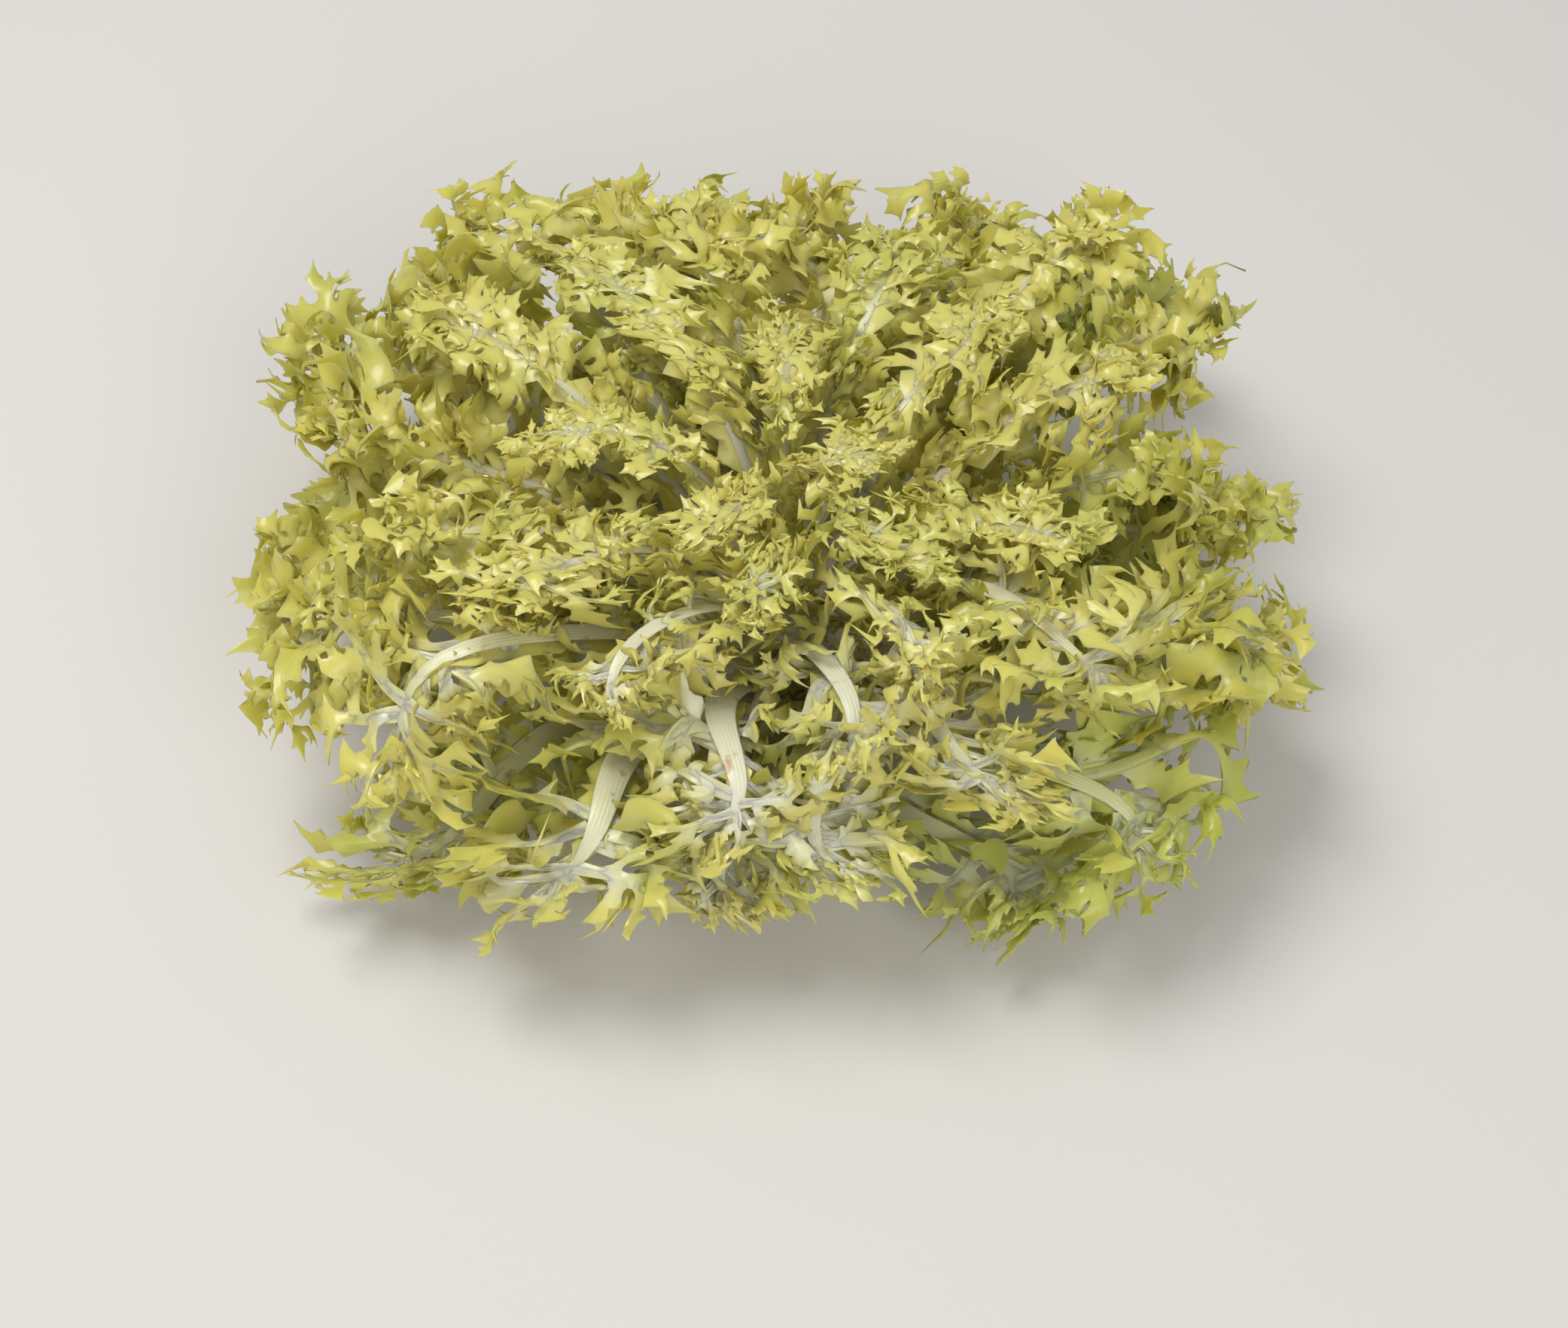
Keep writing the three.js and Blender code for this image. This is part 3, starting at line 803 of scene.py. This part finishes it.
def fit_lobes(leaf, lobes, blanks):
    """Eases the lobes into the head: little stretched, and within the leaf's tip, the film and the ground."""
    allowed = lerp(PAST_THE_TIP, SHORT_OF_THE_TIP, leaf.front) + CORNER_EXTRA * leaf.in_corner ** 2
    for _ in range(FITTING_ROUNDS):
        for chosen, blank in by_blank(lobes, blanks):
            free = curled(leaf, chosen, blank)
            laid = on_sheet(leaf, free.reshape(-1, 3), pressed=False).reshape(free.shape)
            for one, path, placed, stretch in zip(chosen, free, laid, span(laid) / span(free)):
                past = path[:, 0].max() - leaf.length - allowed
                one.root = max(LOWEST_ROOT, one.root - max(0, past) / leaf.length)
                one.length /= max(1, stretch / MOST_STRETCH / lerp(1, BACK_CORNER_STRETCH, leaf.back_corner))
                one.length /= max(1, np.abs(path[:, 2]).max() / TALLEST_FRILL) ** 0.5
                if placed[:, 2].min() < 0:
                    one.rise += math.radians(FITTING_RISE)
                    one.curl += math.radians(FITTING_CURL)
                if placed[:, 2].max() > HEAD_HEIGHT + FILM_CLEARANCE:
                    one.rise -= math.radians(FITTING_RISE)


# ---- a leaf's meshes

def add_object(name, data):
    thing = bpy.data.objects.new(name, data)
    bpy.context.scene.collection.objects.link(thing)
    return thing


def give_attribute(mesh, label, values):
    attribute = mesh.attributes.new(label, "FLOAT", "POINT")
    attribute.data.foreach_set("value", np.broadcast_to(values, len(mesh.vertices)).astype(np.float32))


def mesh_object(name, points, faces, reach, groove=0.0):
    """An object of one mesh. reach is how far out on its lobe a point is, groove how far across a midrib."""
    mesh = bpy.data.meshes.new(name)
    mesh.from_pydata((points * MM).tolist(), [], faces)
    give_attribute(mesh, "reach", reach)
    give_attribute(mesh, "groove", groove)
    return add_object(name, mesh)


def copies(count, blank, start):
    """The faces of many copies of a blank, whose points follow one another from start."""
    offsets = start + np.arange(count) * len(blank.points)
    return [[corner + offset for corner in face] for offset in offsets.tolist() for face in blank.faces]


def wing_of(leaf, strip):
    """The narrow wavy blade along both sides of the midrib, in the leaf's own space."""
    out, across = strip.points[:, 0], strip.points[:, 1]
    along = lerp(leaf.first_lobe - WING_ENDS[0], WING_ENDS[1], out)
    tooth = 1 + WING_TEETH * np.where(np.round(out * WING_RINGS) % 2 > 0, 1, -1) * (np.abs(across) > 0.9)
    blade = lerp(*WING_WIDTHS, leaf.bare) * np.sin(math.pi * np.clip(out, 0.02, 0.98) ** 0.8)
    sideways = across * (0.8 * rib_half_width(leaf, along) + blade * tooth)
    wave = WING_WAVE * across ** 2 * np.sin(26 * out + np.where(across > 0, 1.9, 0) + leaf.index)
    return np.stack([along * leaf.length, sideways, wave - 0.6], axis=1)


def blade_of(leaf, lobes, blanks, strip):
    """All lobes of a leaf as one mesh, thick along each lobe's middle and sharp at its rim."""
    points, faces, start = [wing_of(leaf, strip)], copies(1, strip, 0), len(strip.points)
    reaches = [lerp(0.45, 0.15, leaf.bare) + 0.45 * np.abs(strip.points[:, 1])]
    rims = [strip.rim]
    for chosen, blank in by_blank(lobes, blanks):
        own = blank.points[:, 0] * lerp(1.2, 1.1, leaf.bare) + np.abs(blank.points[:, 1]) * 1.4
        own += lerp(0.25, -0.52, leaf.bare)
        tones = np.array([lerp(-0.12, 0.12, draw(leaf.index, one.use + 9.7)) for one in chosen])
        points.append(curled(leaf, chosen, blank).reshape(-1, 3))
        reaches.append(np.clip(own[None] + tones[:, None], 0, 1).reshape(-1))
        rims.append(np.tile(blank.rim, len(chosen)))
        faces += copies(len(chosen), blank, start)
        start += len(chosen) * len(blank.points)
    points, reaches = on_sheet(leaf, np.concatenate(points)), np.concatenate(reaches)
    blade = mesh_object("blade", points, faces, 0.12 + 0.88 * reaches)
    thickness = np.where(np.concatenate(rims), 0, lerp(1, THIN_SHARE, reaches))
    middles = blade.vertex_groups.new(name="middles")
    for tenths in range(11):
        chosen = np.nonzero(np.round(thickness * 10) == tenths)[0]
        middles.add(chosen.tolist(), tenths / 10, "REPLACE")
    nothing_selected()
    blade.select_set(True)
    bpy.context.view_layer.objects.active = blade
    solidify = blade.modifiers.new("thickness", "SOLIDIFY")
    solidify.thickness = lerp(BLADE_THICKNESS, FLESHY_THICKNESS, leaf.bare) * MM
    solidify.offset = 0
    solidify.vertex_group = "middles"
    solidify.thickness_vertex_group = 0
    solidify.use_rim = False
    bpy.ops.object.modifier_apply(modifier="thickness")
    blade.vertex_groups.clear()
    start_editing(faces=True)
    bpy.ops.mesh.remove_doubles(threshold=WELD_DISTANCE)
    bpy.ops.object.mode_set(mode="OBJECT")
    return blade


def stoutness(out):
    """How much wider than a slender vein a stout one is, which keeps its width until well into the lobe."""
    share = np.clip(out / VEIN_END, 0, 1)
    return lerp(1, STOUT_TIP, share ** 3) / lerp(1, VEIN_TIP, share ** 0.8)


def veins_of(leaf, lobes, blanks, vein):
    """The rounded veins of the leaf's longest lobes, in one mesh. Those of the under-lobes are stout."""
    points, count = [], 0
    out, across, height = vein.points.T
    longest = [one for one in lobes if one.length > VEINED_FROM * leaf.longest_lobe]
    for alike, blank in by_blank(longest, blanks):
        middle = np.interp(out, blank.middle[:, 0], blank.middle[:, 1])
        for stout in (False, True):
            chosen = [one for one in alike if stout == (UNDER_USES <= one.use < CREST_USES)]
            if not chosen:
                continue
            width = lerp(1, BARE_VEIN, leaf.bare) * (stoutness(out) if stout else 1)
            rod = np.stack([out, middle + width * across, width * height], axis=1)
            points.append(curled(leaf, chosen, SimpleNamespace(points=rod), ruffled=False).reshape(-1, 3))
            count += len(chosen)
    reach = np.tile(lerp(0.4, 0.1, leaf.bare) + lerp(0.5, 0.4, leaf.bare) * out, count)
    return mesh_object("veins", on_sheet(leaf, np.concatenate(points)), copies(count, vein, 0), reach)


def midrib_of(leaf, blank):
    """The fleshy midrib, broad and thick at its seat and thin at its end."""
    along = blank.points[:, 2] * (RIB_END + RIB_PAST_END)
    thick = RIB_BASE_THICKNESS * lerp(1, 0.6, leaf.shell)
    thin_from = lerp(0.6, 0.85, leaf.front)
    thinned = np.clip(along / thin_from, 0, 1) ** lerp(0.8, 1.6, leaf.front)
    half_thickness = lerp(thick, RIB_TIP_THICKNESS, thinned) / 2
    across = blank.points[:, 0] * rib_half_width(leaf, along)
    lift = BARE_RIB_LIFT * leaf.bare * np.sin(math.pi * np.clip(along, 0, 1)) ** 2
    height = blank.points[:, 1] * half_thickness + lift
    points = sheet_point(leaf, along, across) + sheet_normal(leaf, along, across) * height[:, None]
    reach = lerp(0.5, 0.12, leaf.bare) * along
    return mesh_object("midrib", between_ground_and_film(points), blank.faces, reach, across)


def greenness_of(leaf):
    """How green a leaf is: most at the outside of the head, and there on its right."""
    outside = max(0, 1 - leaf.shell * 2.2)
    front_right = max(0, math.cos(leaf.azimuth + 0.6))
    back_right = max(0, math.cos(leaf.azimuth - 0.9))
    greenest = 0.15 + max(0.65 * front_right ** 2, 0.5 * back_right ** 6)
    return float(np.clip(outside * greenest + lerp(-0.1, 0.15, draw(leaf.index, 6)), 0, 1))


def leaf_pieces(index, kind, blanks):
    leaf = leaf_at(index)
    lobes = side_lobes(leaf, kind) + under_lobes(leaf) + crest_lobes(leaf, kind) + tip_lobes(leaf)
    for one in lobes:
        one.blank = blank_for(leaf, one.use)
        one.scale = blanks.lobes[one.blank].scale
    fit_lobes(leaf, lobes, blanks.lobes)
    pieces = [blade_of(leaf, lobes, blanks.lobes, blanks.wing), midrib_of(leaf, blanks.rib)]
    if leaf.bare > VEINS_SHOW_FROM:
        pieces.append(veins_of(leaf, lobes, blanks.lobes, blanks.vein))
    for piece in pieces:
        give_attribute(piece.data, "green", greenness_of(leaf))
    return pieces


# ---- the stem and the bud

def on_axis(height):
    return [value * MM for value in (*STEM_AXIS, height)]


def ringed_blank(outline, sides):
    """A turned piece from a flat disc: each (radius, height) of its outline is a ring extruded on."""
    nothing_selected()
    radius, height = outline[0]
    bpy.ops.mesh.primitive_circle_add(
        vertices=sides, radius=radius * MM, fill_type="NGON", location=on_axis(height))
    piece = bpy.context.object
    bpy.ops.object.transform_apply(location=True, rotation=True, scale=True)
    start_editing(faces=True)
    for next_radius, next_height in outline[1:]:
        extrude((0, 0, (next_height - height) * MM))
        ratio = next_radius / radius
        bpy.ops.transform.resize(value=(ratio, ratio, 1), center_override=on_axis(next_height))
        radius, height = next_radius, next_height
    end_editing()
    return piece


def make_stem(materials):
    """The short stem: a cut face with a shallow dish, and leaf scars as low ridges round its side."""
    sides = []
    for height in np.arange(1.5, STEM_HEIGHT, STEM_RING_SPACING):
        scar = SCAR_HEIGHT * math.sin(height * SCARS_PER_MM)
        sides.append((stem_radius(height) + scar, float(height)))
    stem = ringed_blank(CUT_FACE + sides + [(2, STEM_HEIGHT)], sides=56)
    for vertex in stem.data.vertices:
        x, y = vertex.co.x / MM - STEM_AXIS[0], vertex.co.y / MM - STEM_AXIS[1]
        azimuth, height = math.atan2(y, x), vertex.co.z / MM
        if height > 1 and math.hypot(x, y) > 3:
            swell = 1 + 0.035 * math.sin(5 * azimuth + 0.5 * height)
            swell += 0.02 * math.sin(8 * azimuth - 0.8 * height)
            vertex.co.x = (STEM_AXIS[0] + x * swell) * MM
            vertex.co.y = (STEM_AXIS[1] + y * swell) * MM
    finish_piece(joined([stem], "trimmed_stem"), "stem", "stem_flesh", materials)


def make_bud():
    """The bud over the stem, which carries the heart's leaves."""
    outline = [(BUD_RADIUS, BUD_FOOT)]
    for share in np.linspace(0.1, 1, 10):
        radius = BUD_RADIUS * math.cos(share * math.pi / 2) ** 0.6 + BUD_TIP_RADIUS
        outline.append((radius, float(lerp(BUD_FOOT, BUD_TOP, share))))
    bud = ringed_blank(outline, sides=20)
    for label, value in (("reach", 0.2), ("groove", 0), ("green", 0)):
        give_attribute(bud.data, label, value)
    return bud


# ---- finishes

# Features of each pattern to a metre: patches of about 22 mm, cells of 1.1 mm, bruises of 8 mm and the stem's
# mottle of 6 mm. Real cells are finer, and are drawn as coarse as they need to be to show.
PATCHES_PER_METRE = 45
CELLS_PER_METRE = 900
BRUISES_PER_METRE = 130
MOTTLE_PER_METRE = 160
STRAND_SPACING = 1.1
PATCH_CONTRAST = 1.2
YELLOW_LEAF = [(0.06, "#EFECD4"), (0.22, "#ECE7BC"), (0.5, "#E3DA82"), (1, "#DDD26D")]
GREEN_LEAF = [(0.04, "#DEE2B8"), (0.3, "#C4CD6E"), (0.65, "#A6B848"), (1, "#829F30")]
BRUISE = "#C9AE86"
STEM_FLESH = [(0.3, "#E9E6CC"), (0.6, "#DEDAB4"), (0.8, "#CFC08E")]
DRIED_CUT = [(0.3, "#B98F62"), (0.55, "#A5744A"), (0.75, "#7C4F30")]
FLOOR = "#E4E0DA"
DAYLIGHT = "#F2F4F7"
# A colour mix node's inputs: how far it goes from its first colour to its second
MIX_SHARE, MIX_FIRST, MIX_SECOND = 0, 6, 7
MIX_COLOUR = 2


def linear(code):
    """An sRGB hex colour as a linear RGBA colour."""
    values = [int(code[i:i + 2], 16) / 255 for i in (1, 3, 5)]
    return [v / 12.92 if v <= 0.04045 else ((v + 0.055) / 1.055) ** 2.4 for v in values] + [1]


def add_node(material, kind, settings=(), links=()):
    """Adds a node, sets its properties and inputs, and links its inputs, each to a (node, output)."""
    node = material.node_tree.nodes.new("ShaderNode" + kind)
    for name, value in dict(settings).items():
        if isinstance(name, int) or (name in node.inputs and not hasattr(node, name)):
            node.inputs[name].default_value = value
        else:
            setattr(node, name, value)
    for name, (source, output) in dict(links).items():
        material.node_tree.links.new(source.outputs[output], node.inputs[name])
    return node


def new_material(name):
    material = bpy.data.materials.new(name)
    material.use_nodes = True
    material.node_tree.nodes.clear()
    return material


def set_ramp(ramp, stops):
    elements = ramp.color_ramp.elements
    while len(elements) < len(stops):
        elements.new(0.5)
    for element, (position, colour) in zip(elements, stops):
        element.position = position
        element.color = linear(colour)


def leaf_material(name):
    """Fresh endive leaf: near-white at the ribs, with yellow or green frills. Its flesh is full of water, so
    light spreads in it and softens its shade, and its smooth moist skin gives small highlights."""
    material = new_material(name)
    add = partial(add_node, material)
    reach = add("Attribute", {"attribute_name": "reach"})
    greenness = add("Attribute", {"attribute_name": "green"})
    groove = add("Attribute", {"attribute_name": "groove"})
    on_leaf = {"Vector": (add("TexCoord"), "Object")}
    pale = add("ValToRGB", links={"Fac": (reach, "Fac")})
    set_ramp(pale, YELLOW_LEAF)
    fresh = add("ValToRGB", links={"Fac": (reach, "Fac")})
    set_ramp(fresh, GREEN_LEAF)
    # Patches in which a leaf is greener or yellower than its average
    patches = add("TexNoise", {"Scale": PATCHES_PER_METRE, "Detail": 3}, on_leaf)
    contrast = {"operation": "MULTIPLY_ADD", 1: PATCH_CONTRAST, 2: -PATCH_CONTRAST / 2}
    spread = add("Math", contrast, {0: (patches, "Fac")})
    added = {"operation": "ADD", "use_clamp": True}
    share = add("Math", added, {0: (spread, 0), 1: (greenness, "Fac")})
    tones = {MIX_SHARE: (share, 0), MIX_FIRST: (pale, "Color"), MIX_SECOND: (fresh, "Color")}
    colour = add("Mix", {"data_type": "RGBA"}, tones)
    # Bump: strands along the midrib, and the cells of the whole leaf
    waves = {"operation": "MULTIPLY", 1: 2 * math.pi / STRAND_SPACING}
    turns = add("Math", waves, {0: (groove, "Fac")})
    strands = add("Math", {"operation": "SINE"}, {0: (turns, 0)})
    cells = add("TexNoise", {"Scale": CELLS_PER_METRE, "Detail": 2}, on_leaf)
    halved = {"operation": "MULTIPLY_ADD", 1: 0.5}
    relief = add("Math", halved, {0: (strands, 0), 2: (cells, "Fac")})
    bump = add("Bump", {"Strength": 0.3, "Distance": 0.0003}, {"Height": (relief, 0)})
    # Bruises, on the midribs only, where groove isn't 0
    marks = add("TexNoise", {"Scale": BRUISES_PER_METRE, "Detail": 3}, on_leaf)
    bruised = add("MapRange", {"From Min": 0.62, "From Max": 0.7}, {"Value": (marks, "Fac")})
    size = {"operation": "ABSOLUTE", "use_clamp": True}
    on_rib = add("Math", size, {0: (groove, "Fac")})
    depth = add("Math", {"operation": "MULTIPLY"}, {0: (on_rib, 0), 1: (bruised, 0)})
    bruise = {"data_type": "RGBA", MIX_SECOND: linear(BRUISE)}
    worn = add("Mix", bruise, {MIX_SHARE: (depth, 0), MIX_FIRST: (colour, MIX_COLOUR)})
    finish = {
        "Roughness": 0.38,
        "IOR": 1.4,
        "Subsurface Weight": 0.5,
        "Subsurface Radius": (1.0, 0.9, 0.25),
        "Subsurface Scale": 0.002,
        "Coat Weight": 0.45,
        "Coat Roughness": 0.16,
    }
    skin_links = {"Base Color": (worn, MIX_COLOUR), "Normal": (bump, "Normal")}
    skin = add("BsdfPrincipled", finish, skin_links)
    add("OutputMaterial", links={"Surface": (skin, "BSDF")})
    return material


def stem_material():
    """Stem flesh: ivory and firm. Its knife-cut face has dried, which leaves it brown and mottled."""
    material = new_material("trimmed_stem_flesh")
    add = partial(add_node, material)
    on_stem = {"Vector": (add("TexCoord"), "Object")}
    height = add("SeparateXYZ", links=on_stem)
    mottle = add("TexNoise", {"Scale": MOTTLE_PER_METRE, "Detail": 4}, on_stem)
    cut = add("MapRange", {"From Min": 0.0004, "From Max": 0.002}, {"Value": (height, "Z")})
    flesh = add("ValToRGB", links={"Fac": (mottle, "Fac")})
    set_ramp(flesh, STEM_FLESH)
    dried = add("ValToRGB", links={"Fac": (mottle, "Fac")})
    set_ramp(dried, DRIED_CUT)
    tones = {MIX_SHARE: (cut, 0), MIX_FIRST: (dried, "Color"), MIX_SECOND: (flesh, "Color")}
    colour = add("Mix", {"data_type": "RGBA"}, tones)
    bump = add("Bump", {"Strength": 0.3, "Distance": 0.0004}, {"Height": (mottle, "Fac")})
    finish = {
        "Roughness": 0.5,
        "IOR": 1.4,
        "Subsurface Weight": 0.2,
        "Subsurface Radius": (1.0, 0.8, 0.4),
        "Subsurface Scale": 0.003,
    }
    skin_links = {"Base Color": (colour, MIX_COLOUR), "Normal": (bump, "Normal")}
    skin = add("BsdfPrincipled", finish, skin_links)
    add("OutputMaterial", links={"Surface": (skin, "BSDF")})
    return material


def make_materials():
    return {
        "stem_flesh": stem_material(),
        "outer_leaf": leaf_material("fresh_outer_leaf"),
        "middle_leaf": leaf_material("fresh_middle_leaf"),
        "inner_leaf": leaf_material("blanched_inner_leaf"),
        "heart_leaf": leaf_material("blanched_heart_leaf"),
    }


# ---- the head

def joined(pieces, name):
    nothing_selected()
    for piece in pieces:
        piece.select_set(True)
    bpy.context.view_layer.objects.active = pieces[0]
    bpy.ops.object.join()
    bpy.ops.object.shade_smooth_by_angle(angle=math.radians(50))
    pieces[0].name = name
    pieces[0].data.name = name
    return pieces[0]


def finish_piece(piece, node, slot, materials):
    piece.data.materials.clear()
    piece.data.materials.append(materials[slot])
    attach(piece, "root")
    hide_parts(node)


def make_leaves(materials):
    blanks = SimpleNamespace(
        lobes=[lobe_blank(*shape) for shape in LOBES],
        wing=wing_blank(WING_RINGS),
        vein=vein_blank(),
        rib=rib_blank(RIB_RINGS, RIB_SIDES),
    )
    heart = []
    for index in range(LEAF_COUNT):
        kind = [each for each in KINDS if index >= each.start][-1]
        pieces = leaf_pieces(index, kind, blanks)
        if kind.name == "heart":
            heart += pieces
            continue
        node = f"{kind.name}_{index - kind.start + 1:02d}"
        finish_piece(joined(pieces, "frilled_" + node), node, kind.slot, materials)
    finish_piece(joined(heart + [make_bud()], "frilled_heart"), "heart", "heart_leaf", materials)


# ---- studio

FLOOR_SIZE = 6
SKY_STRENGTH = 0.38
LIT_POINT = Vector((0, 0, 0.04))
# Lamps as (name, place, size, power)
LAMPS = [
    ("overhead", (-0.4, 0.15, 1.25), 0.7, 9.2),
    ("front_fill", (0.5, -1.1, 1.0), 1, 7),
]
CAMERA_ELEVATION = math.radians(56)
CAMERA_DISTANCE = 0.61
CAMERA_TARGET = Vector((0.002, -0.026, 0.02))
CAMERA_LENS = 52
CAMERA_SENSOR = 36


def make_studio():
    """A matt painted floor, a soft sky and two large lamps."""
    bpy.context.scene.view_settings.view_transform = "Standard"
    nothing_selected()
    bpy.ops.mesh.primitive_plane_add(size=FLOOR_SIZE, location=(0, 0, 0))
    floor = bpy.context.object
    floor.name = "floor"
    material = new_material("pale_floor")
    paint = add_node(material, "BsdfPrincipled", {"Roughness": 0.7, "Base Color": linear(FLOOR)})
    add_node(material, "OutputMaterial", links={"Surface": (paint, "BSDF")})
    floor.data.materials.append(material)
    world = bpy.data.worlds.new("studio")
    bpy.context.scene.world = world
    world.use_nodes = True
    sky = world.node_tree.nodes["Background"]
    sky.inputs["Color"].default_value = linear(DAYLIGHT)
    sky.inputs["Strength"].default_value = SKY_STRENGTH
    for name, place, size, power in LAMPS:
        light = bpy.data.lights.new(name, "AREA")
        light.shape = "DISK"
        light.size = size
        light.energy = power
        lamp = add_object(name, light)
        lamp.location = place
        lamp.rotation_euler = (LIT_POINT - Vector(place)).to_track_quat("-Z", "Y").to_euler()


def make_camera():
    back = Vector((0, -math.cos(CAMERA_ELEVATION), math.sin(CAMERA_ELEVATION)))
    lens = bpy.data.cameras.new("camera")
    lens.sensor_width = CAMERA_SENSOR
    lens.lens = CAMERA_LENS
    camera = add_object("camera", lens)
    camera.location = CAMERA_TARGET + back * CAMERA_DISTANCE
    camera.rotation_euler = (-back).to_track_quat("-Z", "Y").to_euler()
    bpy.context.scene.camera = camera


materials = make_materials()
make_stem(materials)
make_leaves(materials)
make_studio()
make_camera()
